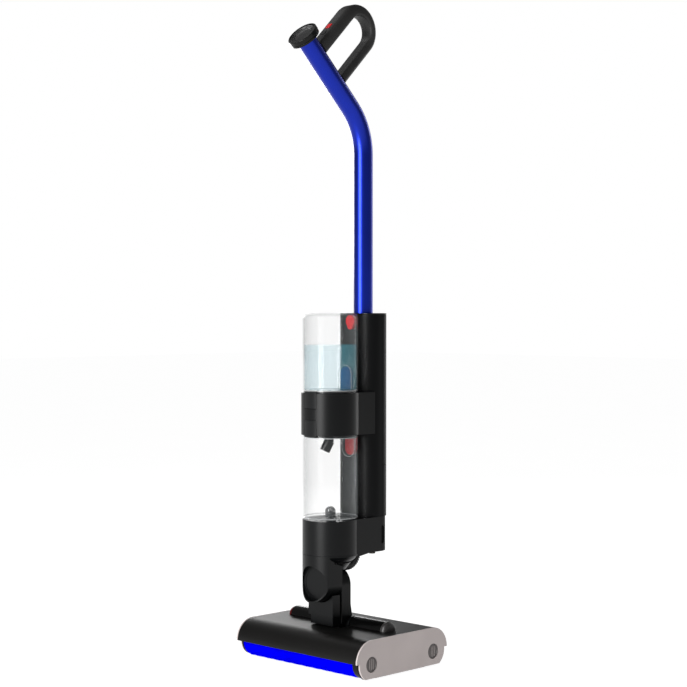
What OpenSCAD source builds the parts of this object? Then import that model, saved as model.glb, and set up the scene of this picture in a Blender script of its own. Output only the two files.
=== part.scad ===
// Cordless wet floor scrubber: two counter-rotating wet rollers, stacked water tanks, bent wand and
// loop handle.
// X runs across the head, -Y is the tank side, +Z is up, and the origin is on the floor under the
// head's centre.

/* [Head] */
// Width over the two end caps
head_w = 300; // [250:1:360]
// Thickness of each end cap
cap_t = 3; // [2:0.5:5]
// Distance from the head's centre to the centre of the cover's round edge
cover_y = 76; // [72:1:90]
// Height of the cover's lower lip
cover_z = 30; // [28:1:34]
// Radius of the cover's round edge
cover_r = 37; // [35:1:42]
// Wall of the cover
cover_t = 3; // [2:0.5:4]
// Height of the chassis floor above the ground
ground_gap = 2.5; // [1.5:0.5:5]
// Half of the length of the two rails under the head
rail_y = 62; // [40:1:70]

/* [Rollers] */
// Distance from the head's centre to each roller's axis
roller_y = 77; // [74:1:88]
// Outer radius of the fibre sleeve
roller_r = 27; // [22:0.5:29]
// Inner radius of the fibre sleeve
sleeve_ri = 20; // [18:0.5:22]
// Length of the plain ring at the driven end of each roller
flange_t = 11; // [6:0.5:14]
// Wall of the roller core
core_t = 2.5; // [1.5:0.5:4]
// Radius of the drive motor
motor_r = 15; // [12:0.5:15]
// Radius of the idle axle
idle_r = 5; // [3:0.5:7]
// Radius of the shaft that leaves the motor
shaft_r = 4; // [3:0.5:6]

/* [Hinge and swivel] */
// Radius of the two hinge housings on top of the head
hump_r = 16; // [14:0.5:20]
// Half of the length over both hinge housings
hump_x = 111; // [90:1:118]
// Radius of the recline axle
axle_r = 5; // [4:0.5:7]
// Height of the swivel axis
swivel_z = 143.5; // [138:0.5:152]
// Radius of the swivel lug
lug_r = 33; // [30:0.5:35]
// Radius of the round pocket in the lug's front
pocket_r = 30.5; // [24:0.5:32]
// Radius of the swivel pin
pin_r = 6; // [4:0.5:8]
// Half of the neck's width
neck_x = 30; // [26:0.5:32]

/* [Tanks] */
// Distance of the tank axis in front of the head's centre
tank_y = -25.7; // [-30:0.1:-22]
// Outer radius of both tanks
tank_r = 48.2; // [40:0.1:48.5]
// Wall of both tanks
tank_t = 2.2; // [1.5:0.1:4]
// Radius of the tanks' round edges
tank_edge = 9; // [5:0.5:14]
// Outer radius of the base ring
base_r = 49; // [48.6:0.1:52]
// Outer radius of the tank collar
collar_r = 51; // [49:0.5:54]
// Lower face of the base ring
base_z0 = 192.8; // [188:0.2:200]
// Height of the base ring
base_h = 59.9; // [50:0.1:75]
// Height of the dirty water tank
dirty_h = 147.3; // [110:0.1:190]
// Height of the tank collar
collar_h = 73.6; // [64:0.2:90]
// Height of the clean water tank
clean_h = 138; // [100:1:180]

/* [Spine] */
// Half of the spine's width
spine_x = 44; // [40:0.5:44.5]
// Half of the spine's depth
spine_d = 28; // [26:0.5:30]
// Corner radius of the spine
spine_edge = 24; // [16:0.5:25]
// Wall of the spine's shells
spine_t = 2.5; // [2:0.5:4]
// Height of the spine's foot above the ground
spine_z0 = 191; // [188:0.5:192]
// Thickness of the base ring's arms beside the spine
bracket_t = 2; // [1.5:0.5:4]
// Rear end of the base ring's arms
bracket_y = 69; // [62:1:74]
// Half of the width of the collar's arms
collar_x = 43; // [38:0.5:44]

/* [Wand] */
// Distance of the wand's axis behind the head's centre
wand_y = 57; // [54:0.5:60]
// Outer radius of the wand
wand_r = 17; // [14:0.5:18]
// Wall of the wand
wand_t = 1.6; // [1:0.1:3]
// Lean of the wand's upper end
wand_lean = 45; // [30:15:60]
// Radius of the wand's bend
bend_r = 115; // [80:1:140]
// Length of the leaning part between the bend and the display
lean_len = 154; // [130:1:190]
// Length of the straight wand between the spine and the bend
wand_rise = 281; // [220:1:350]
// Length of wand inside the spine
wand_seat = 50; // [30:1:70]
// Radius of the display housing
display_r = 27; // [24:0.5:32]
// Height of the display housing
display_h = 12; // [10:0.5:18]

/* [Handle] */
// Half of the loop's width across the body
grip_x = 13.5; // [11:0.5:15]
// Thickness of the loop's lower leg and round end
grip_t = 16; // [12:0.5:18]
// Thickness of the loop's upper leg
grip_top_t = 23; // [15:0.5:26]
// Outer radius of the loop's round end
grip_r = 45; // [40:0.5:52]
// Distance from the wand's axis to the centre of the round end
grip_reach = 104; // [85:0.5:130]
// Distance of the loop's upper edge below the display housing
grip_drop = 20; // [14:1:35]

/* [Hidden] */
$fn = 64;
gap = 0.4;
run = 0.05;
big = 2000;
half = head_w / 2;
plate_x = half - cap_t;
plate_t = 3.8;
bay_x = plate_x - plate_t;
roller_x = bay_x - 2.2;
roller_z = roller_r;
skid_r = roller_r + 2;
left_r = roller_r - 2;
screw_x = bay_x - 23.2;
wipe_z = 8.5;
flange_r = roller_r - 0.5;
top_z = cover_z + cover_r;
beam_y = roller_y - roller_r - 4;
wall_t = 3;
deck_z = top_z - 7;
deck_t = 3;
tray_y = beam_y - wall_t - 0.6;
tray_h = 28;
tray_z = ground_gap + 3;
shelf_z = tray_z + tray_h + 1.5;
door_y = tray_y + 3;
door_z0 = tray_z;
door_z1 = tray_z + tray_h + 5;
shelf_t = 2.5;
disc_r = 13;
disc_x = half - 0.4;
rail_t = 2.5;
hinge_z = top_z;
well_x = neck_x + 6.5;
well_y = 36;
hump_x0 = well_x + 0.5;
boss_x = hump_x0 + 21;
dome_x = 10;
foot_x = neck_x + 4;
foot_r = hump_r - 1;
pocket_y = tank_y - 36.3;
lug_y1 = tank_y - 3.3;
disc_t = 2;
arm_y0 = lug_y1 + 1.6;
arm_y1 = arm_y0 + 22.4;
arm_z0 = top_z + 5;
block_y0 = tank_y - 24.3;
block_y1 = tank_y - 6.3;
block_z0 = top_z + 18;
block_z1 = swivel_z - 20.5;
arm_top = swivel_z - 6.5;
arch_r = neck_x + 2;
funnel_z = swivel_z + 21.5;
house_z1 = base_z0 - gap;
base_z1 = base_z0 + base_h;
dirty_z0 = base_z1 + gap;
dirty_z1 = dirty_z0 + dirty_h - 0.2;
collar_z0 = dirty_z1 + gap;
collar_z1 = collar_z0 + collar_h;
clean_z0 = collar_z1 + gap;
clean_z1 = clean_z0 + clean_h;
ring_t = 3;
tab_x = 14.4;
tab_h = 26.5;
tab_t = 3;
rim_h = 1.5;
web_z = (collar_z0 + collar_z1) / 2;
web_h = 14;
spine_y0 = wand_y - spine_d;
spine_y1 = wand_y + spine_d;
spine_z1 = clean_z1 - 0.2;
seam_y = wand_y + 5;
slot_y = wand_y + 4;
slot_w = 4;
cell_r = 9.2;
cell_h = 65;
split_z = 344;
latch_y = tank_y + tank_r + 0.7;
latch_y1 = spine_y0 + spine_t + 1;
latch_press = 2.5;
bend_z = spine_z1 + wand_rise;
corner_z = bend_z + bend_r * tan(wand_lean / 2);
axis_n = wand_y * cos(wand_lean) + corner_z * sin(wand_lean);
lean_t0 = corner_z * cos(wand_lean) - wand_y * sin(wand_lean) + bend_r * tan(wand_lean / 2);
lean_t1 = lean_t0 + lean_len;
grip_t1 = lean_t1 - grip_drop;
grip_tc = grip_t1 - grip_r;
grip_nc = axis_n + grip_reach;
slot_r = (2 * grip_r - grip_t - grip_top_t) / 2;
slot_tc = grip_t1 - grip_top_t - slot_r;
slot_nc = grip_nc + grip_r - grip_t - slot_r;
power_n = axis_n + 60;
mode_n = power_n - 18;
button_t = 3;
power_y = 5.5;
mode_y = 5;
button_w = 5;
hose_r = 8;
hose_bend = 24;
hose_y = 40;
hose_z = spine_z0 - 1.5;

// ---------------------------------------------------------------- helpers

// A box given by its lowest and highest corners.
module box(lo, hi) {
  translate(lo) cube(hi - lo);
}

// A cylinder along X from x0 to x1.
module rod_x(x0, x1, r, y = 0, z = 0) {
  translate([x0, y, z]) rotate([0, 90, 0]) cylinder(h = x1 - x0, r = r);
}

// A cylinder along Y from y0 to y1.
module rod_y(y0, y1, r, x = 0, z = 0) {
  translate([x, y0, z]) rotate([-90, 0, 0]) cylinder(h = y1 - y0, r = r);
}

// An outline in Y and Z, extruded along X from x0 to x1.
module along_x(x0, x1) {
  translate([x0, 0, 0]) rotate([90, 0, 90]) linear_extrude(x1 - x0) children();
}

// A rounded rectangle about the origin, with half sizes a and b.
module soft_rect(a, b, r) {
  square([2 * (a - r), 2 * b], center = true);
  square([2 * a, 2 * (b - r)], center = true);
  for (x = [-1, 1], y = [-1, 1]) translate([x * (a - r), y * (b - r)]) circle(r);
}

// Children are drawn with y as the distance along the handle and z as the distance along the leaning wand.
module leaning() {
  rotate([wand_lean, 0, 0]) children();
}

// ---------------------------------------------------------------- head

// The cover's outline above its lip, at a radius about the edge centres.
module cover_outline(r) {
  intersection() {
    union() {
      for (s = [-1, 1]) translate([s * cover_y, cover_z]) circle(r);
      translate([-cover_y, cover_z]) square([2 * cover_y, r]);
    }
    translate([-big, cover_z]) square([2 * big, big]);
  }
}

// The end outline under the cover's lip, which follows the rollers at a radius about their axes.
module skid_outline(r) {
  intersection() {
    union() {
      for (s = [-1, 1]) translate([s * roller_y, roller_z]) circle(r);
      translate([-roller_y, 0]) square([2 * roller_y, cover_z]);
    }
    translate([-big, ground_gap]) square([2 * big, cover_z + 1 - ground_gap]);
  }
}

module chassis() {
  color("#202225") difference() {
    union() {
      for (x0 = [-plate_x, bay_x]) along_x(x0, x0 + plate_t) {
        skid_outline(x0 < 0 ? left_r : skid_r);
        cover_outline(cover_r - cover_t - gap);
      }
      box([-bay_x - 1, -beam_y, ground_gap], [bay_x + 1, beam_y, tray_z - 0.6]);
      box([-bay_x - 1, -beam_y, shelf_z], [bay_x + 1, beam_y, shelf_z + shelf_t]);
      box([-bay_x - 1, -beam_y, deck_z - deck_t], [bay_x + 1, beam_y, deck_z]);
      for (y0 = [-beam_y, beam_y - wall_t])
        box([-bay_x - 1, y0, ground_gap], [bay_x + 1, y0 + wall_t, deck_z]);
      for (s = [-1, 1]) rod_x(-bay_x - 1, -bay_x + 16, idle_r, s * roller_y, roller_z);
    }
    box([-half, -tray_y - gap, tray_z - gap], [-bay_x + 1, tray_y + gap, tray_z + tray_h + gap]);
    for (s = [-1, 1]) rod_x(bay_x - 1, half, motor_r, s * roller_y, roller_z);
    for (x = [-4:4]) box([x * 29 - 12, -beam_y - 1, tray_z + 9], [x * 29 + 12, beam_y + 1, shelf_z - 4]);
    box([-well_x, -well_y, shelf_z + shelf_t + 3], [well_x, foot_r + 4, top_z]);
    for (p = screw_places()) translate([p[0], p[1], 0]) cylinder(h = 4.6, r = 3.2);
  }
}

function screw_places() = [for (x = [-screw_x, 0, screw_x], y = [-34, 34]) [x, y]];

module head_cover() {
  color("#26282b") difference() {
    along_x(-plate_x, plate_x) difference() {
      cover_outline(cover_r);
      cover_outline(cover_r - cover_t);
    }
    box([-well_x, -well_y, cover_z], [well_x, foot_r + 4, top_z + 1]);
    for (s = [-1, 1]) box(
      [min(s * (hump_x0 - 0.6), s * (boss_x + gap)), -hump_r - gap, cover_z],
      [max(s * (hump_x0 - 0.6), s * (boss_x + gap)), hump_r + gap, top_z + 1]
    );
  }
}

module end_cap(side) {
  x0 = side > 0 ? plate_x : -half;
  color("#a39a98") difference() {
    along_x(x0, x0 + cap_t) {
      skid_outline(side < 0 ? left_r : skid_r);
      cover_outline(cover_r);
    }
    for (s = [-1, 1]) rod_x(x0 - 1, x0 + cap_t + 1, disc_r + 0.2, s * roller_y, roller_z - 1);
    if (side < 0)
      box([x0 - 1, -door_y - gap, door_z0 - gap], [x0 + cap_t + 1, door_y + gap, door_z1 + gap]);
  }
}

// Rails on the floor under the chassis, just inside the end plates.
module skid_rails() {
  color("#17181a") for (x0 = [-bay_x, bay_x - rail_t])
    box([x0, -rail_y, 0], [x0 + rail_t, rail_y, ground_gap]);
}

// Four round covers in the end caps, each with three finger lines.
module roller_caps() {
  color("#77706e") for (side = [-1, 1], s = [-1, 1]) difference() {
    rod_x(
      min(side * plate_x, side * disc_x),
      max(side * plate_x, side * disc_x),
      disc_r,
      s * roller_y,
      roller_z - 1
    );
    for (k = [-1:1]) translate([side * disc_x - 0.5, s * roller_y + k * 5 - 0.5, roller_z - 8])
      cube([1, 1, 14]);
  }
}

module debris_tray() {
  color("#3a3d40") {
    difference() {
      box([-plate_x, -tray_y, tray_z], [bay_x - 4, tray_y, tray_z + tray_h]);
      box([-plate_x + 2, -tray_y + 1.5, tray_z + 1.5], [bay_x - 6, tray_y - 1.5, tray_z + tray_h + 1]);
      box([-plate_x + 16, -tray_y - 1, tray_z + 8], [bay_x - 20, tray_y + 1, tray_z + tray_h + 1]);
    }
    difference() {
      box([-half, -door_y, door_z0], [-plate_x, door_y, door_z1]);
      box([-half - 1, -20, door_z1 - 9], [-half + 1.6, 20, door_z1 - 3]);
    }
  }
}

module sleeve(s) {
  color("#0a10e0") difference() {
    rod_x(-bay_x + gap, roller_x - flange_t, roller_r, s * roller_y, roller_z);
    rod_x(-half, half, sleeve_ri, s * roller_y, roller_z);
  }
}

module core(s) {
  color("#4a4d50") difference() {
    union() {
      rod_x(-roller_x, roller_x, sleeve_ri, s * roller_y, roller_z);
      rod_x(roller_x - flange_t, roller_x, flange_r, s * roller_y, roller_z);
    }
    rod_x(-half, half, sleeve_ri - core_t, s * roller_y, roller_z);
  }
}

// The driven disc inside the core and the shaft that enters the motor.
module drive_hub(s) {
  color("#d8d8d4") {
    rod_x(28, 40, sleeve_ri - core_t, s * roller_y, roller_z);
    rod_x(39, 58, shaft_r, s * roller_y, roller_z);
  }
}

module idle_bearing(s) {
  color("#b9bcc0") difference() {
    rod_x(-roller_x + 1, -roller_x + 13, sleeve_ri - core_t, s * roller_y, roller_z);
    rod_x(-roller_x, -roller_x + 14, idle_r + run, s * roller_y, roller_z);
  }
}

module motor(s) {
  color("#8a8d92") difference() {
    union() {
      rod_x(62, plate_x, motor_r - 0.2, s * roller_y, roller_z);
      rod_x(44, 62, motor_r - 1.5, s * roller_y, roller_z);
    }
    rod_x(43, 60, shaft_r + run, s * roller_y, roller_z);
  }
}

module scraper_blades() {
  tip = roller_y - sqrt(roller_r * roller_r - wipe_z * wipe_z) - 0.4;
  color("#55585c") for (s = [-1, 1])
    box(
      [-roller_x, min(s * beam_y, s * tip), roller_z + wipe_z],
      [roller_x, max(s * beam_y, s * tip), roller_z + wipe_z + 2]
    );
}

module water_bars() {
  color("#2f3236") for (s = [-1, 1]) difference() {
    box(
      [-roller_x, s * (cover_y - 1) - 7, top_z - 9],
      [roller_x, s * (cover_y - 1) + 7, top_z - cover_t - 0.9]
    );
    for (x = [-6:6]) translate([x * 21, s * (cover_y - 1), 0]) cylinder(h = top_z - 5, r = 1);
  }
}

module head_screws() {
  color("#9a9ea3") for (p = screw_places()) translate([p[0], p[1], ground_gap + 0.1]) difference() {
    cylinder(h = 2, r = 3);
    translate([0, 0, -1]) cylinder(h = 2, r = 1.5, $fn = 6);
  }
}

module hinge_housing(s) {
  end = s * hump_x;
  color("#17181a") difference() {
    union() {
      intersection() {
        rod_x(min(s * hump_x0, end), max(s * hump_x0, end), hump_r, 0, hinge_z);
        box([-big, -big, top_z], [big, big, big]);
      }
      box(
        [min(s * hump_x0, s * boss_x), -hump_r, deck_z],
        [max(s * hump_x0, s * boss_x), hump_r, top_z + 0.5]
      );
    }
    rod_x(min(0, s * boss_x), max(0, s * boss_x), axle_r + run, 0, hinge_z);
    intersection() {
      rod_x(
        min(s * (boss_x + 3), s * (hump_x + 1)),
        max(s * (boss_x + 3), s * (hump_x + 1)),
        hump_r - 1.5,
        0,
        hinge_z
      );
      box([-big, -big, top_z - 1], [big, big, big]);
    }
  }
}

// The dome that closes a hinge housing, turned about X and cut level with the cover.
module hinge_dome(s, r, inner, z0) {
  intersection() {
    translate([s * hump_x, 0, hinge_z]) rotate([0, s * 90, 0]) {
      rotate_extrude() {
        square([r - 7, dome_x]);
        square([r, dome_x - 7]);
        intersection() {
          translate([r - 7, dome_x - 7]) circle(7);
          square([r, dome_x]);
        }
      }
      translate([0, 0, -inner]) cylinder(h = inner + 1, r = r);
    }
    box([-big, -big, z0], [big, big, big]);
  }
}

module hinge_end_cap() {
  color("#3b3d40") {
    hinge_dome(1, hump_r, 0, top_z);
    intersection() {
      rod_x(hump_x - 8, hump_x + 1, hump_r - 1.7, 0, hinge_z);
      box([-big, -big, top_z + 0.1], [big, big, big]);
    }
  }
}

module tray_release_button() {
  color("#c01820") hinge_dome(-1, hump_r - 1.9, 8, top_z + gap);
}

module recline_axle() {
  color("#c4c7cb") rod_x(-boss_x + 2, boss_x - 2, axle_r, 0, hinge_z);
}

// ---------------------------------------------------------------- neck

module neck_yoke() {
  color("#2b2d30") difference() {
    union() {
      box([-neck_x, block_y0, block_z0], [neck_x, block_y1, block_z1]);
      box([-neck_x + 3, block_y0 + 3, top_z + 2], [neck_x - 3, block_y1, block_z0 + 1]);
      box([-neck_x + 3, block_y1 - 1, hinge_z - 9], [neck_x - 3, arm_y0, block_z1 - 15]);
      box([-neck_x + 3, block_y1 - 1, hinge_z - 9], [neck_x - 3, 0, arm_z0]);
      rod_x(-foot_x, foot_x, foot_r, 0, hinge_z);
    }
    rod_x(-big, big, axle_r + run, 0, hinge_z);
    rod_y(-big, arm_y0 - 0.5, lug_r + 2, 0, swivel_z);
  }
}

module neck_arm() {
  color("#323538") difference() {
    union() {
      rod_y(arm_y0, arm_y1, neck_x, 0, arm_top);
      box([-neck_x, arm_y0, arm_z0], [neck_x, arm_y1, arm_top]);
      along_x(-neck_x, neck_x) polygon([
        [arm_y1 - 1, arm_z0], [arm_y1 + 8, arm_z0], [arm_y1 + 4, arm_z0 + 9], [arm_y1 - 1, arm_z0 + 38]
      ]);
    }
    rod_x(-big, big, foot_r + gap, 0, hinge_z);
    rod_y(arm_y0 - 1, arm_y1 - 4, pin_r, 0, swivel_z);
    rod_y(arm_y1 - 10, arm_y1 + 1, hose_r + run, 0, hose_z - hose_bend);
    for (x = [-1, 1]) rod_y(arm_y1 - 2, arm_y1 + 1, 4.2, x * 18, swivel_z - 20);
  }
}

module neck_screws() {
  color("#8f9398") for (x = [-1, 1]) difference() {
    rod_y(arm_y1 - 2, arm_y1 - 0.4, 4, x * 18, swivel_z - 20);
    translate([x * 18, arm_y1 - 1.6, swivel_z - 20]) rotate([-90, 0, 0]) cylinder(h = 2, r = 1.9, $fn = 6);
  }
}

module swivel_pin() {
  color("#c4c7cb") rod_y(pocket_y + disc_t + 3.5, arm_y1 - 4, pin_r, 0, swivel_z);
}

// A round tube that leaves the spine's foot, turns forward and enters the back of the neck arm.
module neck_hose() {
  color("#3a3c3e") difference() {
    hose_path(hose_r);
    hose_path(hose_r - 2);
  }
}

module hose_path(r) {
  end_z = hose_z - hose_bend;
  end_y = hose_y - hose_bend;
  translate([0, end_y, hose_z]) rotate([90, 0, 90]) rotate_extrude(angle = -90)
    translate([hose_bend, 0]) circle(r);
  rod_y(arm_y1 - 10, end_y, r, 0, end_z);
}

// ---------------------------------------------------------------- lower body

// A round cup under the base ring, a lug in front with a round pocket, and a plate that reaches back to
// the spine.
module swivel_housing() {
  color("#26282b") difference() {
    union() {
      translate([0, tank_y, 0]) rotate_extrude() polygon([
        [0, funnel_z], [27, funnel_z], [33, funnel_z + 8], [40, funnel_z + 16], [45.5, funnel_z + 21],
        [base_r, house_z1 - 2], [base_r, house_z1], [0, house_z1]
      ]);
      intersection() {
        translate([0, tank_y, 0]) cylinder(h = house_z1, r = base_r);
        union() {
          rod_y(tank_y - base_r - 1, lug_y1, lug_r, 0, swivel_z);
          box([-lug_r, tank_y - base_r - 1, swivel_z], [lug_r, lug_y1, house_z1]);
        }
      }
      along_x(-spine_x + 3, spine_x - 3) polygon([
        [tank_y, house_z1], [spine_y0 - gap, house_z1], [spine_y0 - gap, house_z1 - 2],
        [0, house_z1 - 6], [tank_y, house_z1 - 6]
      ]);
    }
    rod_y(-big, pocket_y, pocket_r, 0, swivel_z);
    rod_y(pocket_y - 1, pocket_y + disc_t, pocket_r - 2, 0, swivel_z);
    rod_y(pocket_y, lug_y1 + 1, pin_r + run, 0, swivel_z);
    rod_y(lug_y1, big, arch_r, 0, swivel_z);
    translate([0, tank_y, arch_r + swivel_z + 2]) cylinder(h = big, r = 40);
  }
}

// The disc that closes the pocket's floor, slightly dished.
module swivel_cover() {
  color("#2b2d30") difference() {
    rod_y(pocket_y + 0.2, pocket_y + disc_t, pocket_r - 2.2, 0, swivel_z);
    rod_y(pocket_y - 1, pocket_y + 0.8, pocket_r - 6, 0, swivel_z);
  }
}

// Outline of a ring about the tank axis with arms of half width x1 back to y1, cut to the spine at an
// inset.
module ring_outline(r, x1, y1, inset = 0) {
  difference() {
    union() {
      translate([0, tank_y]) circle(r);
      translate([-x1, tank_y + 20]) square([2 * x1, min(y1, spine_y1 - spine_edge) - tank_y - 20]);
      intersection() {
        translate([0, wand_y]) soft_rect(x1, spine_d, spine_edge);
        translate([-x1, wand_y]) square([2 * x1, max(y1 - wand_y, 0.01)]);
      }
    }
    translate([0, wand_y])
      soft_rect(spine_x + gap / 2 - inset, spine_d + gap / 2 - inset, spine_edge - inset);
  }
}

module base_ring() {
  color("#222427") difference() {
    translate([0, 0, base_z0]) linear_extrude(base_h) ring_outline(base_r, spine_x, bracket_y, bracket_t);
    translate([0, tank_y, base_z0 - 1]) cylinder(h = base_h - 2, r = base_r - ring_t);
    box([-spine_x + 4, tank_y, base_z0 - 1], [spine_x - 4, spine_y0 - 3, base_z1 - 3]);
    translate([0, tank_y, 0]) cylinder(h = big, r = 6);
    for (z = [base_z0 + 16, base_z0 + 40]) rod_x(-big, big, slot_w, slot_y, z);
    box([-big, slot_y - slot_w, base_z0 + 16], [big, slot_y + slot_w, base_z0 + 40]);
  }
}

module pumps() {
  color("#5c6066") for (x = [-1, 1]) translate([x * 22, tank_y, house_z1 - 8]) {
    cylinder(h = 36, r = 16);
    translate([0, 0, 35]) cylinder(h = 12, r = 11);
    translate([0, 0, 46]) cylinder(h = 7, r = 3.5);
  }
}

// ---------------------------------------------------------------- tanks

// Half section of a cup of radius r, height h and wall t, with a round closed end.
module cup_section(h, r, t) {
  difference() {
    cup_blank(h, r, tank_edge);
    translate([-1, t]) square([1, h]);
    translate([0, t]) cup_blank(h, r - t, tank_edge - t);
  }
}

module cup_blank(h, r, e) {
  square([r - e, h]);
  translate([0, e]) square([r, h - e]);
  intersection() {
    translate([r - e, e]) circle(e);
    square([r, h]);
  }
}

module dirty_tank() {
  color("#dfe6ea", 0.35) difference() {
    translate([0, tank_y, dirty_z0]) rotate_extrude() cup_section(dirty_h - 0.2, tank_r, tank_t);
    translate([0, tank_y, dirty_z0 - 1]) cylinder(h = 10, r = 5);
    rim_notch(dirty_z1 - rim_h - 0.2, dirty_z1 + 1);
  }
}

// The lid closes the tank's mouth and carries the pull tab that fills the collar's lower notch.
module dirty_tank_lid() {
  color("#1d1f21") difference() {
    union() {
      translate([0, tank_y, dirty_z1 - 4]) cylinder(h = 4, r = tank_r - tank_t - 0.1);
      rim_bridge(dirty_z1 - rim_h, dirty_z1);
      pull_tab(dirty_z1 - rim_h, collar_z0 + tab_h);
    }
    translate([0, tank_y, dirty_z1 - 5]) cylinder(h = 6, r = 6);
  }
}

// A gap in a tank's rim for the lid's bridge to the tab.
module rim_notch(z0, z1) {
  box([-tab_x - gap, tank_y - tank_r - 1, z0], [tab_x + gap, tank_y, z1]);
}

// The bridge from a lid inside the rim to its tab outside.
module rim_bridge(z0, z1) {
  intersection() {
    translate([0, tank_y, z0]) difference() {
      cylinder(h = z1 - z0, r = collar_r - 0.5);
      translate([0, 0, -1]) cylinder(h = z1 - z0 + 2, r = tank_r - tank_t - 4);
    }
    box([-tab_x, tank_y - collar_r - 1, z0], [tab_x, tank_y, z1]);
  }
}

// A curved tab on the collar's outside, joined to its tank over the tank's rim.
module pull_tab(z0, z1) {
  intersection() {
    translate([0, tank_y, z0]) difference() {
      cylinder(h = z1 - z0, r = collar_r);
      translate([0, 0, -1]) cylinder(h = z1 - z0 + 2, r = collar_r - tab_t);
    }
    box([-tab_x, tank_y - collar_r - 1, z0], [tab_x, tank_y, z1]);
  }
}

module vent_duct() {
  color("#2a2c2e") translate([0, tank_y - 3, dirty_z1 - 4]) difference() {
    union() {
      translate([0, 0, -9]) cylinder(h = 9, r = 8);
      translate([0, 0, -8]) rotate([-18, 18, 0]) translate([0, 0, -18]) cylinder(h = 19, r = 9);
    }
    translate([0, 0, -8]) rotate([-18, 18, 0]) translate([0, 0, -20]) cylinder(h = 18, r = 6.5);
  }
}

module inlet_dome() {
  color("#c9d0d4", 0.4) translate([0, tank_y, dirty_z0 + tank_t]) rotate_extrude() {
    translate([8, 0]) square([1.5, 10]);
    intersection() {
      translate([0, 10]) difference() {
        circle(9.5);
        circle(8);
      }
      translate([0, 10]) square([10, 10]);
    }
  }
}

module float_ball() {
  color("#303335") translate([0, tank_y, dirty_z0 + tank_t + 4.8]) sphere(r = 6.5);
}

// Outline of the lower latch, flat at the top and round at the foot, grown by g.
module dirty_latch_outline(g, y0, y1) {
  rod_y(y0, y1, 12 + g, 0, collar_z0 - 27);
  box([-12 - g, y0, collar_z0 - 27], [12 + g, y1, collar_z0 - 5 + g]);
}

// Outline of the upper latch, a large round with a smaller one under it, grown by g.
module clean_latch_outline(g, y0, y1) {
  rod_y(y0, y1, 10.5 + g, 0, clean_z1 - 14);
  rod_y(y0, y1, 7 + g, 0, clean_z1 - 22);
}

module dirty_tank_latch() {
  color("#c01820") dirty_latch_outline(0, latch_y, latch_y1);
}

module clean_tank_latch() {
  color("#d01820") clean_latch_outline(0, latch_y, latch_y1);
}

module tank_collar() {
  color("#26282b") difference() {
    translate([0, 0, collar_z0]) linear_extrude(collar_h) ring_outline(collar_r, collar_x, spine_y0 + 14);
    translate([0, tank_y, collar_z0 + 3]) cylinder(h = web_z - web_h / 2 - collar_z0 - 3, r = collar_r - 6);
    translate([0, tank_y, web_z + web_h / 2])
      cylinder(h = collar_z1 - web_z - web_h / 2 - 3, r = collar_r - 6);
    translate([0, tank_y, collar_z1 - 10]) cylinder(h = 20, r = 18);
    translate([0, tank_y, collar_z0 - 1]) cylinder(h = 10, r = 6);
    translate([0, 0, collar_z0 - 1]) tab_notch(tab_h + 1 + gap);
    translate([0, 0, collar_z1 - tab_h - gap]) tab_notch(tab_h + 1 + gap);
  }
}

module tab_notch(h) {
  intersection() {
    translate([0, tank_y, 0]) difference() {
      cylinder(h = h, r = collar_r + 1);
      translate([0, 0, -1]) cylinder(h = h + 2, r = collar_r - tab_t - gap);
    }
    box([-tab_x - gap, tank_y - collar_r - 2, 0], [tab_x + gap, tank_y, h]);
  }
}

module clean_tank() {
  color("#dfe6ea", 0.35) difference() {
    translate([0, tank_y, clean_z1]) mirror([0, 0, 1]) rotate_extrude()
      cup_section(clean_h, tank_r, tank_t);
    rim_notch(clean_z0 - 1, clean_z0 + rim_h + 0.2);
  }
}

module clean_tank_base() {
  color("#1d1f21") {
    translate([0, tank_y, clean_z0]) cylinder(h = 4, r = tank_r - tank_t - 0.1);
    translate([0, tank_y, clean_z0 - 8]) cylinder(h = 9, r = 17);
    rim_bridge(clean_z0, clean_z0 + rim_h);
    pull_tab(collar_z1 - tab_h, clean_z0 + rim_h);
  }
}

module outlet_filter() {
  y1 = tank_y + tank_r - tank_t - 2.2;
  color("#0b4c86") {
    rod_y(y1 - 6, y1, 12.5, 0, clean_z0 + 31);
    box([-12.5, y1 - 6, clean_z0 + 4], [12.5, y1, clean_z0 + 31]);
  }
}

// ---------------------------------------------------------------- spine

module spine_blank(grow, z0, z1) {
  translate([0, wand_y, z0]) linear_extrude(z1 - z0)
    soft_rect(spine_x + grow, spine_d + grow, spine_edge + grow);
}

module spine_front() {
  color("#1b1c1e") difference() {
    union() {
      spine_blank(-bracket_t, spine_z0, base_z1 + 2);
      spine_blank(0, base_z1 + gap / 2, spine_z1 - 3);
    }
    spine_blank(-bracket_t - spine_t, spine_z0 + 3, base_z1 + 3);
    spine_blank(-spine_t, base_z1 + 3, spine_z1);
    box([-big, seam_y, 0], [big, big, big]);
    translate([0, hose_y, spine_z0 - 1]) cylinder(h = 6, r = hose_r - 2);
    dirty_latch_outline(gap, spine_y0 - 1, spine_y0 + spine_t + 1);
    clean_latch_outline(gap, spine_y0 - 1, spine_y0 + spine_t + 1);
  }
}

// The part of a shell behind the seam.
module behind_seam() {
  difference() {
    children();
    box([-big, -big, 0], [big, seam_y + gap, big]);
  }
}

module spine_rear_upper() {
  color("#2b2d30") behind_seam() difference() {
    spine_blank(0, split_z + gap, spine_z1 - 3);
    spine_blank(-spine_t, split_z - 1, spine_z1);
  }
}

module spine_rear_lower() {
  color("#2b2d30") behind_seam() difference() {
    union() {
      spine_blank(-bracket_t, spine_z0, base_z1 + 2);
      spine_blank(0, base_z1 + gap / 2, split_z);
    }
    spine_blank(-bracket_t - spine_t, spine_z0 + 3, base_z1 + 3);
    spine_blank(-spine_t, base_z1 + 3, split_z + 1);
  }
}

module spine_cap() {
  color("#17181a") difference() {
    spine_blank(0, spine_z1 - 3, spine_z1);
    translate([0, wand_y, spine_z1 - 4]) cylinder(h = 5, r = wand_r + 0.2);
  }
}

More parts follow.
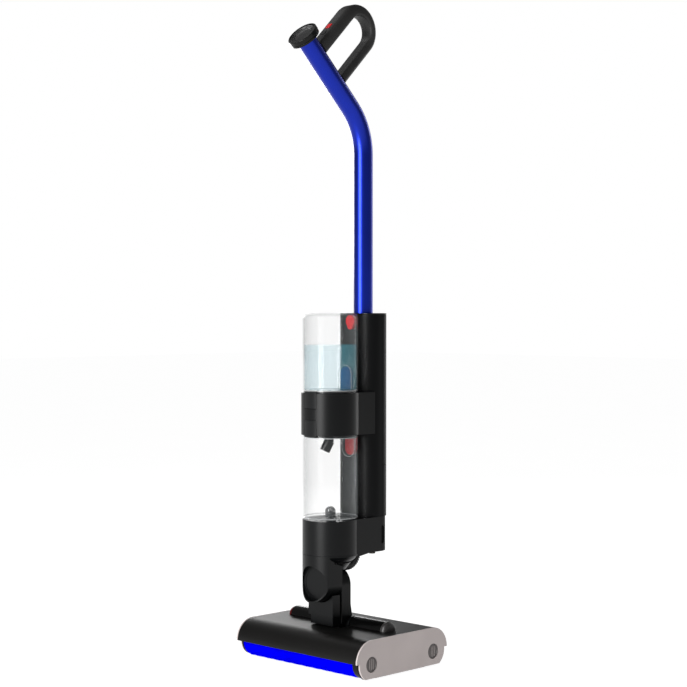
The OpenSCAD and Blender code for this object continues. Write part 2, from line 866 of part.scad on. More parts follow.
module battery_cells() {
  color("#3f6ea8") for (x = [-1:1], z = [0, 1])
    translate([x * (2 * cell_r + 1), seam_y - 4, spine_z0 + 14 + z * (cell_h + 3)])
      cylinder(h = cell_h, r = cell_r);
}

module control_board() {
  color("#1e6b3a") {
    box([-30, wand_y, split_z + 30], [30, wand_y + 1.6, split_z + 170]);
    box([-12, wand_y + 1.6, split_z + 60], [12, wand_y + 6, split_z + 90]);
    box([-20, wand_y + 1.6, split_z + 110], [-4, wand_y + 10, split_z + 130]);
  }
}

module charge_contacts() {
  color("#c9a24a") for (s = [-1, 1]) translate([s * 20, wand_y + 2, spine_z0 - 6]) cylinder(h = 6, r = 6);
}

// ---------------------------------------------------------------- wand

// The block inside the spine's top that holds the wand's lower end, with room for the latch behind it.
module wand_socket() {
  color("#3a3d40") difference() {
    translate([0, wand_y, spine_z1 - wand_seat - 8]) linear_extrude(wand_seat + 4) difference() {
      soft_rect(spine_x - spine_t - 0.6, spine_d - spine_t - 0.6, spine_edge - spine_t - 0.6);
      circle(wand_r + 0.1);
    }
    clean_latch_outline(gap, 0, latch_y1 + latch_press + gap);
  }
}

// The wand's centre line as a round bar: upright, bent, then leaning forward.
module wand_path(r, z0, t1) {
  translate([0, wand_y, z0]) rotate([0, 0, 90]) cylinder(h = bend_z - z0, r = r);
  translate([0, wand_y - bend_r, bend_z]) {
    rotate([90, 0, 90]) rotate_extrude(angle = wand_lean) translate([bend_r, 0]) circle(r);
    rotate([wand_lean, 0, 0]) translate([0, bend_r, 0]) rotate([0, 0, 90])
      cylinder(h = t1 - lean_t0, r = r);
  }
}

module wand_tube() {
  color("#0818c8") difference() {
    wand_path(wand_r, spine_z1 - wand_seat, lean_t1);
    wand_path(wand_r - wand_t, spine_z1 - wand_seat - 1, lean_t1 + 1);
  }
}

module display_housing() {
  color("#101112") leaning() translate([0, axis_n, lean_t1]) rotate_extrude() difference() {
    union() {
      square([display_r, display_h]);
      translate([display_r - 0.6, 5]) square([1.2, 6.4]);
      translate([0, -12]) square([wand_r - wand_t - 0.1, 13]);
    }
    translate([-1, display_h - 3.5]) square([display_r - 2.5 + 1, 4]);
    translate([display_r - 1, 3.6]) square([3, 1]);
  }
}

module display_screen() {
  color("#2c3033") leaning() translate([0, axis_n, lean_t1 + display_h - 3.5])
    cylinder(h = 2.5, r = display_r - 2.7);
}

// ---------------------------------------------------------------- handle

module grip_outline() {
  difference() {
    union() {
      translate([axis_n, grip_tc - grip_r]) square([grip_reach, 2 * grip_r]);
      translate([grip_nc, grip_tc]) circle(grip_r);
    }
    translate([axis_n - 1, slot_tc - slot_r]) square([slot_nc - axis_n + 1, 2 * slot_r]);
    translate([slot_nc, slot_tc]) circle(slot_r);
  }
}

module handle_half(s) {
  color("#3a3c3e") difference() {
    leaning() along_x(min(0.1 * s, s * grip_x), max(0.1 * s, s * grip_x)) grip_outline();
    leaning() translate([0, axis_n, lean_t0]) cylinder(h = lean_len, r = wand_r + 0.1);
    button_block(power_n, button_w + gap, power_y + gap, 7);
    button_block(mode_n, button_w + gap, mode_y + gap, 7);
  }
}

// A block that starts above the upper leg and reaches down into it.
module button_block(n, x, y, depth, rise = 1) {
  leaning() box([-x, n - y, grip_t1 - depth], [x, n + y, grip_t1 + rise]);
}

module power_button() {
  color("#c01820") button_block(power_n, button_w, power_y, button_t, 1.2);
}

module mode_button() {
  color("#2a2c2e") button_block(mode_n, button_w, mode_y, button_t, 0.8);
}

// ---------------------------------------------------------------- assembly

chassis();
head_cover();
end_cap(1);  // end_cap_right
end_cap(-1);  // end_cap_left
skid_rails();
roller_caps();
debris_tray();
sleeve(-1);  // front_sleeve
core(-1);  // front_core
drive_hub(-1);  // front_drive_hub
idle_bearing(-1);  // front_idle_bearing
motor(-1);  // front_motor
sleeve(1);  // rear_sleeve
core(1);  // rear_core
drive_hub(1);  // rear_drive_hub
idle_bearing(1);  // rear_idle_bearing
motor(1);  // rear_motor
scraper_blades();
water_bars();
head_screws();
hinge_housing(-1);  // hinge_housing_left
hinge_housing(1);  // hinge_housing_right
hinge_end_cap();
tray_release_button();
recline_axle();
neck_yoke();
neck_arm();
neck_screws();
swivel_pin();
neck_hose();
swivel_housing();
swivel_cover();
base_ring();
pumps();
dirty_tank();
dirty_tank_lid();
vent_duct();
inlet_dome();
float_ball();
dirty_tank_latch();
tank_collar();
clean_tank();
clean_tank_base();
outlet_filter();
clean_tank_latch();
spine_front();
spine_rear_upper();
spine_rear_lower();
spine_cap();
battery_cells();
control_board();
charge_contacts();
wand_socket();
wand_tube();
display_housing();
display_screen();
handle_half(-1);  // handle_left
handle_half(1);  // handle_right
power_button();
mode_button();
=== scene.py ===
import math
import random

import bmesh
import bpy
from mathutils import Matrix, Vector


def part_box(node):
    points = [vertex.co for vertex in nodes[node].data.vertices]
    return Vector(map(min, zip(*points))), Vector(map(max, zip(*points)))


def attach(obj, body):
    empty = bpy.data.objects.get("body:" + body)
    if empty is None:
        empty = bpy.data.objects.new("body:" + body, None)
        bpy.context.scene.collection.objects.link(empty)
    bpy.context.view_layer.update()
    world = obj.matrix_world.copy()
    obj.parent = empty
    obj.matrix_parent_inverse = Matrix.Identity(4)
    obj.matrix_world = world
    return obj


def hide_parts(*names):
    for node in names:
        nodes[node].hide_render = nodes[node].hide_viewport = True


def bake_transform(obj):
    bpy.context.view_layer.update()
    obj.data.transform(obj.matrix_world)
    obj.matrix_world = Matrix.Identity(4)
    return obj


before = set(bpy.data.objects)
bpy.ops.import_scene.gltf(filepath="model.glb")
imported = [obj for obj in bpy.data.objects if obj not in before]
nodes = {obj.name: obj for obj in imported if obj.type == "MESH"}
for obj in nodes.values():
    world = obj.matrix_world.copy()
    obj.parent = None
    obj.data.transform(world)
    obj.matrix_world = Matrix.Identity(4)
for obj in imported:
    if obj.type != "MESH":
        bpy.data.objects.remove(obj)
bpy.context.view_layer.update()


# ---------------------------------------------------------------- materials

def new_material(name):
    """A new node material, its tree and its main shader."""
    m = bpy.data.materials.new(name)
    m.use_nodes = True
    tree = m.node_tree
    return m, tree, tree.nodes["Principled BSDF"]


def grain(tree, scale, detail=4.0):
    """Noise fixed to the object."""
    coord = tree.nodes.new("ShaderNodeTexCoord")
    noise = tree.nodes.new("ShaderNodeTexNoise")
    noise.inputs["Scale"].default_value = scale
    noise.inputs["Detail"].default_value = detail
    tree.links.new(coord.outputs["Object"], noise.inputs["Vector"])
    return noise.outputs["Fac"]


def spread(tree, fac, low, high):
    """A colour between low and high, by a factor."""
    ramp = tree.nodes.new("ShaderNodeValToRGB")
    ramp.color_ramp.elements[0].position = 0.3
    ramp.color_ramp.elements[1].position = 0.7
    ramp.color_ramp.elements[0].color = (*low, 1)
    ramp.color_ramp.elements[1].color = (*high, 1)
    tree.links.new(fac, ramp.inputs["Fac"])
    return ramp.outputs["Color"]


def number(tree, fac, low, high):
    """A value between low and high, by a factor."""
    m = tree.nodes.new("ShaderNodeMapRange")
    m.inputs["To Min"].default_value = low
    m.inputs["To Max"].default_value = high
    tree.links.new(fac, m.inputs["Value"])
    return m.outputs["Result"]


def plastic(name, color, rough=0.4, vary=0.12, scale=900, bump=0.04, metal=0.0, coat=0.0,
            specular=0.5, coat_rough=0.1):
    """An opaque finish: slow colour drift, fine roughness change and a fine surface grain."""
    m, tree, bsdf = new_material(name)
    fine = grain(tree, scale)
    broad = grain(tree, 14, 2.0)
    low = tuple(c * (1 - vary) for c in color)
    high = tuple(min(1.0, c * (1 + vary)) for c in color)
    tree.links.new(spread(tree, broad, low, high), bsdf.inputs["Base Color"])
    tree.links.new(number(tree, fine, rough * 0.9, rough * 1.1), bsdf.inputs["Roughness"])
    bsdf.inputs["Metallic"].default_value = metal
    bsdf.inputs["Specular IOR Level"].default_value = specular
    bsdf.inputs["Coat Weight"].default_value = coat
    bsdf.inputs["Coat Roughness"].default_value = coat_rough
    if bump:
        b = tree.nodes.new("ShaderNodeBump")
        b.inputs["Strength"].default_value = bump
        b.inputs["Distance"].default_value = 0.0004
        tree.links.new(fine, b.inputs["Height"])
        tree.links.new(b.outputs["Normal"], bsdf.inputs["Normal"])
    return m


def clear_plastic(name, tint=(0.22, 0.235, 0.24), face=0.022, edge=0.5, rough=0.04):
    """Thin clear wall: see-through face on, and more solid where it is seen edge on."""
    m, tree, bsdf = new_material(name)
    facing = tree.nodes.new("ShaderNodeLayerWeight")
    facing.inputs["Blend"].default_value = 0.15
    tree.links.new(number(tree, facing.outputs["Facing"], face, edge), bsdf.inputs["Alpha"])
    tone = grain(tree, 30)
    dark = tuple(c * 0.96 for c in tint)
    tree.links.new(spread(tree, tone, dark, tint), bsdf.inputs["Base Color"])
    tree.links.new(number(tree, tone, rough * 0.8, rough * 1.2), bsdf.inputs["Roughness"])
    bsdf.inputs["Specular IOR Level"].default_value = 1.0
    return m


cover_black = plastic("cover_black", (0.002, 0.0018, 0.0016), 0.42, bump=0.03, specular=0.2)
chassis_black = plastic("chassis_black", (0.002, 0.002, 0.002), 0.5, specular=0.12)
frame_black = plastic("frame_black", (0.0015, 0.0018, 0.0021), 0.35, bump=0.03, specular=0.18)
gloss_black = plastic("gloss_black", (0.0015, 0.0015, 0.0015), 0.2, bump=0.0, specular=0.22)
spine_black = plastic("spine_black", (0.001, 0.0012, 0.0015), 0.42, bump=0.02, specular=0.12)
tank_black = plastic("tank_black", (0.003, 0.0033, 0.0038), 0.3, specular=0.25)
cap_grey = plastic("cap_grey", (0.46, 0.405, 0.395), 0.42, vary=0.05)
cap_dark = plastic("cap_dark", (0.09, 0.078, 0.076), 0.35)
# cap_rib_painted_highlight: a lighter grey for the finger ribs on the cap discs, a painted highlight on the
# ribs.
cap_rib_painted_highlight = plastic("cap_rib_painted_highlight", (0.26, 0.23, 0.225), 0.4)
rubber_black = plastic("rubber_black", (0.006, 0.006, 0.006), 0.62, bump=0.1)
hinge_dark = plastic("hinge_dark", (0.022, 0.02, 0.02), 0.4, bump=0.02)
hose_rubber = plastic("hose_rubber", (0.02, 0.02, 0.021), 0.5, bump=0.1)
grip_black = plastic("grip_black", (0.02, 0.0198, 0.0195), 0.45, vary=0.35, bump=0.12, specular=0.25)
red_plastic = plastic("red_plastic", (0.5, 0.003, 0.008), 0.22, bump=0.0, specular=0.4)
wand_blue = plastic("wand_blue", (0.0005, 0.016, 0.34), 0.32, vary=0.06, metal=1.0, coat=0.35, bump=0.0,
                    coat_rough=0.25)
fibre_blue = plastic("fibre_blue", (0.0, 0.0, 0.62), 0.9, vary=0.18, scale=1500, bump=0.6, specular=0.0)
deep_red = plastic("deep_red", (0.06, 0.001, 0.002), 0.35, bump=0.0, specular=0.2)
filter_blue = plastic("filter_blue", (0.001, 0.032, 0.12), 0.4, specular=0.1)
core_grey = plastic("core_grey", (0.002, 0.002, 0.002), 0.4, specular=0.15)
white_nylon = plastic("white_nylon", (0.66, 0.66, 0.62), 0.45)
steel = plastic("steel", (0.6, 0.6, 0.62), 0.28, metal=1.0, scale=1400, bump=0.05)
motor_steel = plastic("motor_steel", (0.42, 0.43, 0.45), 0.38, metal=1.0)
cell_blue = plastic("cell_blue", (0.06, 0.2, 0.45), 0.3)
board_green = plastic("board_green", (0.015, 0.16, 0.05), 0.45)
brass = plastic("brass", (0.05, 0.045, 0.04), 0.3, metal=1.0)
clear_wall = clear_plastic("clear_wall")
# clear_rim_painted_highlight: a paler, more solid clear tint; its bright lines on the tanks' rims and pocket
# edges are painted highlights.
clear_rim_painted_highlight = clear_plastic("clear_rim_painted_highlight", tint=(0.62, 0.64, 0.65), face=0.2, edge=0.55)
clear_dome = clear_plastic("clear_dome", tint=(0.06, 0.065, 0.07), face=0.35, edge=0.9)
water_clear = clear_plastic("water_clear", tint=(0.11, 0.46, 0.56), face=0.15, edge=0.3)
screen_glass = plastic("screen_glass", (0.002, 0.0021, 0.0022), 0.18, bump=0.0, specular=0.4)

FINISH = {
    cover_black: ["head_cover"],
    chassis_black: ["chassis", "debris_tray"],
    frame_black: ["neck_yoke", "neck_arm", "swivel_housing", "swivel_cover", "base_ring", "tank_collar",
                  "mode_button"],
    gloss_black: ["hinge_housing_left", "hinge_housing_right", "display_housing", "spine_cap"],
    spine_black: ["spine_front", "spine_rear_upper", "spine_rear_lower"],
    tank_black: ["dirty_tank_lid", "vent_duct", "clean_tank_base", "float_ball"],
    cap_grey: ["end_cap_right", "end_cap_left"],
    cap_dark: ["roller_caps"],
    hinge_dark: ["hinge_end_cap"],
    rubber_black: ["skid_rails", "scraper_blades"],
    hose_rubber: ["neck_hose"],
    grip_black: ["handle_left", "handle_right"],
    deep_red: ["tray_release_button"],
    red_plastic: ["dirty_tank_latch", "clean_tank_latch", "power_button"],
    wand_blue: ["wand_tube"],
    fibre_blue: ["front_sleeve", "rear_sleeve"],
    filter_blue: ["outlet_filter"],
    core_grey: ["front_core", "rear_core", "water_bars", "wand_socket"],
    white_nylon: ["front_drive_hub", "rear_drive_hub"],
    steel: ["front_idle_bearing", "rear_idle_bearing", "head_screws", "neck_screws", "recline_axle",
            "swivel_pin"],
    motor_steel: ["front_motor", "rear_motor", "pumps"],
    cell_blue: ["battery_cells"],
    board_green: ["control_board"],
    brass: ["charge_contacts"],
    clear_wall: ["dirty_tank", "clean_tank"],
    clear_dome: ["inlet_dome"],
    screen_glass: ["display_screen"],
}


def soften(obj, width, segments=3):
    """Joins the faces, rounds the hard edges and shades the rest smooth."""
    weld = obj.modifiers.new("weld", "WELD")
    weld.merge_threshold = 0.00002
    if width:
        flat = obj.modifiers.new("flat", "DECIMATE")
        flat.decimate_type = "DISSOLVE"
        flat.angle_limit = math.radians(0.6)
        bevel = obj.modifiers.new("bevel", "BEVEL")
        bevel.width = width
        bevel.segments = segments
        bevel.limit_method = "ANGLE"
        bevel.angle_limit = math.radians(38)
        bevel.use_clamp_overlap = True
    split = obj.modifiers.new("split", "EDGE_SPLIT")
    split.split_angle = math.radians(35)
    normals = obj.modifiers.new("normals", "WEIGHTED_NORMAL")
    normals.weight = 60


# Lengths in metres.
GRIP_START = 0.0135    # from the wand's axis to the start of the grip's two legs
WATER_HEIGHT = 0.083   # from the foot of the clean tank to the water's surface
ARCH_MARGIN = 0.003    # how far a clear arch stands outside the piece it frames
LATCH_GAP = 0.004      # how far the arch of the lower latch lies in front of it
FILTER_GAP = 0.0015    # how far the arch of the filter lies in front of it

ROUNDED = {
    0.002: ["neck_yoke", "neck_arm"],
    0.0015: ["swivel_housing", "hinge_housing_left", "hinge_housing_right", "debris_tray"],
    0.0008: ["base_ring", "tank_collar", "head_cover", "end_cap_right", "end_cap_left", "spine_cap",
             "display_housing"],
    0.0006: ["spine_front", "spine_rear_upper", "spine_rear_lower", "power_button", "mode_button",
             "dirty_tank_latch"],
    0.0004: ["wand_tube", "roller_caps", "clean_tank_latch", "skid_rails", "outlet_filter", "display_screen"],
}
width_of = {name: width for width, names in ROUNDED.items() for name in names}

for material, names in FINISH.items():
    for name in names:
        obj = nodes[name]
        obj.data.materials.clear()
        obj.data.materials.append(material)
        if "custom_normal" in obj.data.attributes:
            obj.data.attributes.remove(obj.data.attributes["custom_normal"])
        obj.data.shade_smooth()
        soften(obj, width_of.get(name, 0))


# ---------------------------------------------------------------- shapes

def mesh_object(name, verts, faces, body, slot, material, node=None):
    """A new piece that rides on a body and may stand for a CAD node."""
    mesh = bpy.data.meshes.new(name)
    mesh.from_pydata(verts, [], faces)
    bm = bmesh.new()
    bm.from_mesh(mesh)
    bmesh.ops.recalc_face_normals(bm, faces=bm.faces)
    bm.to_mesh(mesh)
    bm.free()
    mesh.shade_smooth()
    mesh.set_sharp_from_angle(angle=math.radians(40))
    mesh.materials.append(material)
    obj = bpy.data.objects.new(name, mesh)
    bpy.context.scene.collection.objects.link(obj)
    if node:
        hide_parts(node)
    if body:
        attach(obj, body)
    return obj


def loft(rings, loop=False):
    """Faces between rings of equal length; the ends are filled or the last ring joins the first."""
    n = len(rings[0])
    verts = [tuple(p) for ring in rings for p in ring]
    faces = []
    count = len(rings)
    for r in range(count if loop else count - 1):
        a, b = r * n, (r + 1) % count * n
        for i in range(n):
            j = (i + 1) % n
            faces.append((a + i, a + j, b + j, b + i))
    if not loop:
        faces.append(tuple(range(n))[::-1])
        faces.append(tuple((count - 1) * n + i for i in range(n)))
    return verts, faces


def lathe(profile, centre, axis, count=96):
    """Rings about an axis through centre, from (radius, distance along the axis) pairs."""
    axis = Vector(axis).normalized()
    side = axis.orthogonal().normalized()
    other = axis.cross(side)
    rings = []
    for radius, along in profile:
        ring = []
        for i in range(count):
            a = 2 * math.pi * i / count
            ring.append(Vector(centre) + axis * along + (side * math.cos(a) + other * math.sin(a)) * radius)
        rings.append(ring)
    return rings


def node_centre(name):
    """The centre and half sizes of a node's box."""
    lo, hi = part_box(name)
    return (lo + hi) / 2, (hi - lo) / 2


# ---------------------------------------------------------------- rollers

def pile_roller(name, node, body, seed):
    """Short fibre pile: fine shallow tufts on the sleeve, set in a slow spiral."""
    rng = random.Random(seed)
    centre, half = node_centre(node)
    radius, length = half.z, half.x * 2
    rows, count = 210, 140
    rings = []
    for r in range(rows + 1):
        x = -length / 2 + length * r / rows
        end = min(1.0, (length / 2 - abs(x)) / 0.004)
        shrink = 0.003 * (1 - math.sqrt(max(0.0, 1 - (1 - end) ** 2)))
        ring = []
        for i in range(count):
            a = 2 * math.pi * i / count
            tuft = 0.00035 * (1 + math.sin(a * 22 + x * 260)) + rng.uniform(0, 0.0005)
            rr = radius - 0.00005 - tuft - shrink
            ring.append((x + centre.x, centre.y + rr * math.cos(a), centre.z + rr * math.sin(a)))
        rings.append(ring)
    bore = radius * 0.76
    for r in (rows, 0):
        x = -length / 2 + length * r / rows
        rings.append([(x + centre.x, centre.y + bore * math.cos(2 * math.pi * i / count),
                       centre.z + bore * math.sin(2 * math.pi * i / count)) for i in range(count)])
    verts, faces = loft(rings, loop=True)
    return mesh_object(name, verts, faces, body, "microfibre", fibre_blue, node)


pile_roller("front_pile", "front_sleeve", "front_roller", 11)
pile_roller("rear_pile", "rear_sleeve", "rear_roller", 12)


# ---------------------------------------------------------------- discs in the end caps

def cap_discs():
    """Four round covers, each with a raised rim and three finger ribs in a shallow dish; the ribs are a
    lighter grey, a painted highlight.
    """
    lo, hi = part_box("roller_caps")
    radius = (hi.z - lo.z) / 2
    discs, ribs = ([], []), ([], [])

    def add(mesh, shape):
        base = len(mesh[0])
        mesh[0].extend(shape[0])
        mesh[1].extend(tuple(i + base for i in f) for f in shape[1])

    for side, x in ((-1, lo.x), (1, hi.x)):
        for cy in (lo.y + radius, hi.y - radius):
            centre = Vector((x, cy, (lo.z + hi.z) / 2))
            deep = -0.0028
            profile = [(0.0004, deep), (radius - 0.0001, deep), (radius - 0.0001, -0.0006),
                       (radius - 0.0006, 0), (radius - 0.0016, 0), (radius - 0.0022, -0.0012),
                       (0.0004, -0.0013)]
            add(discs, loft(lathe(profile, centre, (side, 0, 0), 56)))
            for k in (-1, 0, 1):
                reach = radius - 0.0036 - abs(k) * 0.0008
                bar = [(-0.0008, -0.0012), (-0.0006, -0.0004), (0.0006, -0.0004), (0.0008, -0.0012)]
                ends = [[centre + Vector((side * h, k * 0.0042 + w, z)) for w, h in bar]
                        for z in (-reach, reach)]
                add(ribs, loft(ends))
    mesh_object("roller_cap_discs", *discs, "head", "cap_dark", cap_dark, "roller_caps")
    # The ribs take the lighter grey, a painted highlight.
    mesh_object("roller_cap_ribs", *ribs, "head", "cap_dark", cap_rib_painted_highlight)


cap_discs()


# ---------------------------------------------------------------- neck hose

def ribbed_hose():
    """A hose that leaves the arm level, turns up behind it and enters the base."""
    lo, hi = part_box("neck_hose")
    radius = (hi.x - lo.x) / 2
    arm_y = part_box("neck_arm")[1].y
    bottom = lo.z + radius
    top = hi.z
    bend = top - bottom
    end_y = hi.y - radius - bend
    start_y = arm_y - 0.006
    path = []
    for i in range(13):
        path.append((Vector((0, start_y + (end_y - start_y) * i / 12, bottom)), Vector((0, 1, 0))))
    for i in range(1, 37):
        a = math.pi / 2 * i / 36
        path.append((Vector((0, end_y + bend * math.sin(a), bottom + bend * (1 - math.cos(a)))),
                     Vector((0, math.cos(a), math.sin(a)))))
    dense = []
    for (p, d), (q, e) in zip(path, path[1:]):
        for k in range(4):
            t = k / 4
            dense.append((p.lerp(q, t), d.lerp(e, t).normalized()))
    dense.append(path[-1])
    rings, travelled, last = [], 0.0, dense[0][0]
    for p, d in dense:
        travelled += (p - last).length
        last = p
        rib = 0.5 + 0.5 * math.cos(travelled / 0.0036 * 2 * math.pi)
        rr = radius - 0.0014 * (1 - rib)
        up = Vector((1, 0, 0))
        side = d.cross(up)
        rings.append([p + (up * math.cos(a) + side * math.sin(a)) * rr
                      for a in (2 * math.pi * i / 40 for i in range(40))])
    verts, faces = loft(rings)
    hose = mesh_object("neck_hose_ribbed", verts, faces, None, "hose_rubber", hose_rubber, "neck_hose")
    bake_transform(hose)


ribbed_hose()


# ---------------------------------------------------------------- handle

LEAN = math.radians(45)
ALONG = Vector((0, math.cos(LEAN), math.sin(LEAN)))
UP = Vector((0, -math.sin(LEAN), math.cos(LEAN)))


def grip_half(name, node, sign):
    """One half of the loop, with a broad bevel outside and a fine one at the joint."""
    lo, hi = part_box(node)
    half = max(abs(lo.x), abs(hi.x))
    pts = [v.co for v in nodes[node].data.vertices]
    t_hi = max(p.dot(UP) for p in pts)
    t_lo = min(p.dot(UP) for p in pts)
    n_hi = max(p.dot(ALONG) for p in pts)
    radius = (t_hi - t_lo) / 2
    low_t, top_t = 0.016, 0.023
    slot = (2 * radius - low_t - top_t) / 2
    outer_c = (n_hi - radius, (t_hi + t_lo) / 2)
    inner_c = (n_hi - low_t - slot, t_hi - top_t - slot)
    tube_n = nodes_axis + GRIP_START
    outer, inner = [], []
    legs, turn = 14, 44
    for i in range(legs):
        k = i / legs
        outer.append((tube_n + (outer_c[0] - tube_n) * k, t_lo))
        inner.append((tube_n + (inner_c[0] - tube_n) * k, inner_c[1] - slot))
    for i in range(turn + 1):
        a = -math.pi / 2 + math.pi * i / turn
        outer.append((outer_c[0] + radius * math.cos(a), outer_c[1] + radius * math.sin(a)))
        inner.append((inner_c[0] + slot * math.cos(a), inner_c[1] + slot * math.sin(a)))
    for i in range(1, legs + 1):
        k = 1 - i / legs
        outer.append((tube_n + (outer_c[0] - tube_n) * k, t_hi))
        inner.append((tube_n + (inner_c[0] - tube_n) * k, inner_c[1] + slot))
    rings = []
    for o, n in zip(outer, inner):
        po = ALONG * o[0] + UP * o[1]
        pi = ALONG * n[0] + UP * n[1]
        across = (pi - po)
        thick = across.length
        across.normalize()
        section = [(0.0001, 0.0), (half - 0.0055, 0.0), (half - 0.0028, 0.0009), (half - 0.0009, 0.0028),
                   (half, 0.0055), (half, thick - 0.0045), (half - 0.0007, thick - 0.0022),
                   (half - 0.0022, thick - 0.0007), (half - 0.0045, thick), (0.0001, thick)]
        rings.append([po + across * d + Vector((sign * x, 0, 0)) for x, d in section])
    verts, faces = loft(rings)
    return mesh_object(name, verts, faces, "body", "grip_rubber", grip_black, node)


display_c, _ = node_centre("display_screen")
nodes_axis = display_c.dot(ALONG)
grip_half("handle_left_grip", "handle_left", -1)
grip_half("handle_right_grip", "handle_right", 1)


# ---------------------------------------------------------------- display

def display():
    """A stepped glossy ring round a dished screen."""
    pts = [v.co for v in nodes["display_screen"].data.vertices]
    low = min(p.dot(UP) for p in pts)
    radius = (max(p.x for p in pts) - min(p.x for p in pts)) / 2
    deep = max(p.dot(UP) for p in pts) - low
    centre = ALONG * nodes_axis + UP * low
    profile = [(0.0005, 0), (radius - 0.0002, 0), (radius - 0.0001, deep * 0.85),
               (radius - 0.0004, deep * 0.98), (radius - 0.0012, deep), (radius - 0.0026, deep),
               (radius - 0.0034, deep * 0.9),
               (radius - 0.0038, deep * 0.55), (radius - 0.0046, deep * 0.5), (radius - 0.006, deep * 0.5),
               (radius - 0.0066, deep * 0.42), (radius - 0.0072, deep * 0.22), (radius - 0.009, deep * 0.16),
               (0.006, deep * 0.1), (0.0005, deep * 0.09)]
    verts, faces = loft(lathe(profile, centre, UP))
    mesh_object("display_dish", verts, faces, "body", "screen_glass", screen_glass, "display_screen")


display()


# ---------------------------------------------------------------- clear rims with painted highlight

def tube(path, radius, count=10):
    """Rings about a path, each square to the path."""
    rings = []
    for i, p in enumerate(path):
        d = (path[min(i + 1, len(path) - 1)] - path[max(i - 1, 0)]).normalized()
        side = d.cross(Vector((0, 1, 0))).normalized()
        other = d.cross(side)
        rings.append([p + (side * math.cos(a) + other * math.sin(a)) * radius
                      for a in (2 * math.pi * k / count for k in range(count))])
    return rings


def arch_rim(name, node, body, turned, reach, y):
    """A clear arch round a small part, round end up, or down where turned is -1. Its paler clear tint is a
    painted highlight line.
    """
    lo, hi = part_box(node)
    cx, half = (lo.x + hi.x) / 2, (hi.x - lo.x) / 2 + reach
    crown = (hi.z if turned > 0 else lo.z) + turned * (reach - half)
    foot = lo.z if turned > 0 else hi.z
    path = [Vector((cx - half, y, foot + (crown - foot) * i / 6)) for i in range(6)]
    path += [Vector((cx - half * math.cos(a), y, crown + turned * half * math.sin(a)))
             for a in (math.pi * i / 24 for i in range(25))]
    path += [Vector((cx + half, y, crown + (foot - crown) * i / 6)) for i in range(1, 7)]
    verts, faces = loft(tube(path, 0.0008))
    return mesh_object(name, verts, faces, body, "clear_tank", clear_rim_painted_highlight)


latch_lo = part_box("dirty_tank_latch")[0]
arch_rim("dirty_latch_rim", "dirty_tank_latch", "dirty_water_tank", -1, ARCH_MARGIN, latch_lo.y - LATCH_GAP)
filter_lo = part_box("outlet_filter")[0]
arch_rim("filter_rim", "outlet_filter", "clean_water_tank", 1, ARCH_MARGIN, filter_lo.y - FILTER_GAP)


def tank_rim(name, node, z, body):
    """A thin clear bead inside a tank's wall at a height, in a paler clear tint that is a painted highlight
    line.
    """
    centre, half = node_centre(node)
    r = half.x
    ring = [(r - 0.0021, z - 0.0009), (r - 0.0009, z - 0.0011), (r - 0.0002, z - 0.0006),
            (r - 0.0002, z + 0.0006), (r - 0.0009, z + 0.0011), (r - 0.0021, z + 0.0009)]
    verts, faces = loft(lathe(ring, (centre.x, centre.y, 0), (0, 0, 1)), loop=True)
    return mesh_object(name, verts, faces, body, "clear_tank", clear_rim_painted_highlight)


tank_lo, tank_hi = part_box("dirty_tank")
tank_rim("dirty_low_rim", "dirty_tank", tank_lo.z + 0.0035, "dirty_water_tank")
tank_rim("dirty_top_rim", "dirty_tank", tank_hi.z - 0.004, "dirty_water_tank")
tank_lo, tank_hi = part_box("clean_tank")
tank_rim("clean_low_rim", "clean_tank", tank_lo.z + 0.0035, "clean_water_tank")


# ---------------------------------------------------------------- water

def clean_water():
    """Water in the upper tank, with its surface curled up at the wall."""
    centre, half = node_centre("clean_tank")
    floor_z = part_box("clean_tank_base")[1].z + 0.0003
    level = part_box("clean_tank")[0].z + WATER_HEIGHT
    r = half.x - 0.0026
    profile = [(0.002, floor_z), (r - 0.001, floor_z), (r, floor_z + 0.001), (r, level - 0.0006),
               (r - 0.0008, level - 0.0012), (r - 0.003, level - 0.0014), (0.002, level - 0.0014)]
    rings = lathe(profile, (centre.x, centre.y, 0), (0, 0, 1))
    verts, faces = loft(rings)
    return mesh_object("clean_water", verts, faces, "clean_water_tank", "clear_tank", water_clear)


clean_water()


# ---------------------------------------------------------------- camera, light, floor

cam_data = bpy.data.cameras.new("camera")
cam_data.lens = 86.8
cam_data.sensor_width = 36
camera = bpy.data.objects.new("camera", cam_data)
camera.location = (2.0541, -2.0668, 0.6227)
camera.rotation_euler = (math.radians(88.75), 0, math.radians(44.726))
bpy.context.scene.collection.objects.link(camera)
bpy.context.scene.camera = camera


def plane(name, size, location, rotation=(0, 0, 0)):
    mesh = bpy.data.meshes.new(name)
    h = size / 2
    mesh.from_pydata([(-h, -h, 0), (h, -h, 0), (h, h, 0), (-h, h, 0)], [], [(0, 1, 2, 3)])
    obj = bpy.data.objects.new(name, mesh)
    obj.location = location
    obj.rotation_euler = rotation
    bpy.context.scene.collection.objects.link(obj)
    return obj


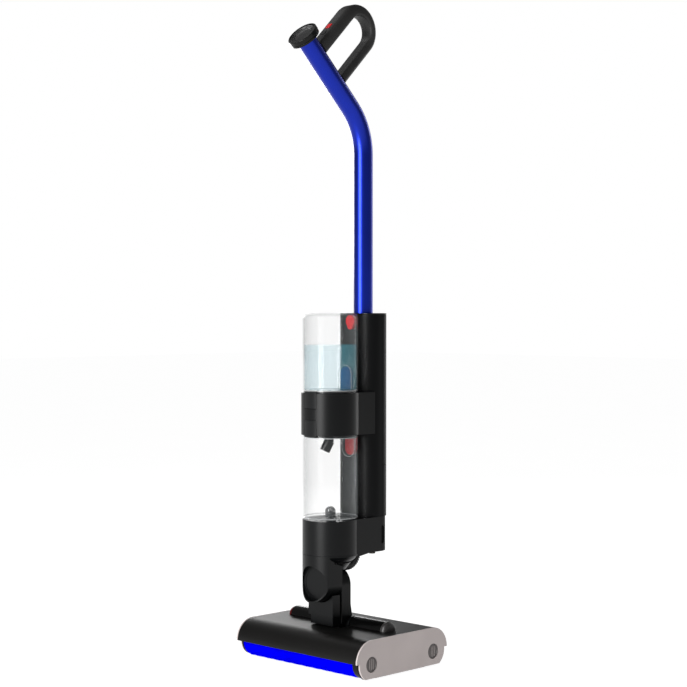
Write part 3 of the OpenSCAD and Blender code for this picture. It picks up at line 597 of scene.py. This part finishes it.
floor = plane("floor", 30, (0, 0, -0.0005))
floor_pale, floor_tree, floor_bsdf = new_material("floor_pale")
tone = grain(floor_tree, 3)
floor_tone = spread(floor_tree, tone, (0.2, 0.2, 0.2), (0.22, 0.22, 0.22))
floor_tree.links.new(floor_tone, floor_bsdf.inputs["Base Color"])
floor_bsdf.inputs["Roughness"].default_value = 0.7
floor_bsdf.inputs["Specular IOR Level"].default_value = 0.1
floor_bsdf.inputs["Emission Color"].default_value = (1, 1, 1, 1)
floor_bsdf.inputs["Emission Strength"].default_value = 0.93
floor.data.materials.append(floor_pale)

bpy.context.scene.view_settings.view_transform = "Standard"

world = bpy.data.worlds.new("world")
world.use_nodes = True
tree = world.node_tree
seen = tree.nodes.new("ShaderNodeBackground")
seen.inputs["Color"].default_value = (1, 1, 1, 1)
seen.inputs["Strength"].default_value = 1.0
fill = tree.nodes["Background"]
fill.inputs["Color"].default_value = (1, 1, 1, 1)
fill.inputs["Strength"].default_value = 0.22
path = tree.nodes.new("ShaderNodeLightPath")
either = tree.nodes.new("ShaderNodeMixShader")
tree.links.new(path.outputs["Is Camera Ray"], either.inputs["Fac"])
tree.links.new(fill.outputs["Background"], either.inputs[1])
tree.links.new(seen.outputs["Background"], either.inputs[2])
tree.links.new(either.outputs["Shader"], tree.nodes["World Output"].inputs["Surface"])
bpy.context.scene.world = world


def light(name, azimuth, height, distance, width, tall, power, aim=0.5):
    """A soft box at an azimuth from the front, turned to the object."""
    data = bpy.data.lights.new(name, "AREA")
    data.shape = "RECTANGLE"
    data.size, data.size_y, data.energy = width, tall, power
    obj = bpy.data.objects.new(name, data)
    a = math.radians(azimuth)
    obj.location = (math.sin(a) * distance, -math.cos(a) * distance, height)
    target = Vector((0, 0, aim))
    obj.rotation_euler = (target - obj.location).to_track_quat("-Z", "Y").to_euler()
    bpy.context.scene.collection.objects.link(obj)
    return obj


light("key", 4, 1.1, 2.6, 1.2, 2.4, 115)
light("rim", 180, 0.9, 2.6, 0.5, 2.2, 12)
light("back", 238, 0.95, 2.6, 1.3, 0.5, 13, 0.1)
light("sky", -76, 2.5, 1.45, 0.7, 0.7, 5, 1.0)
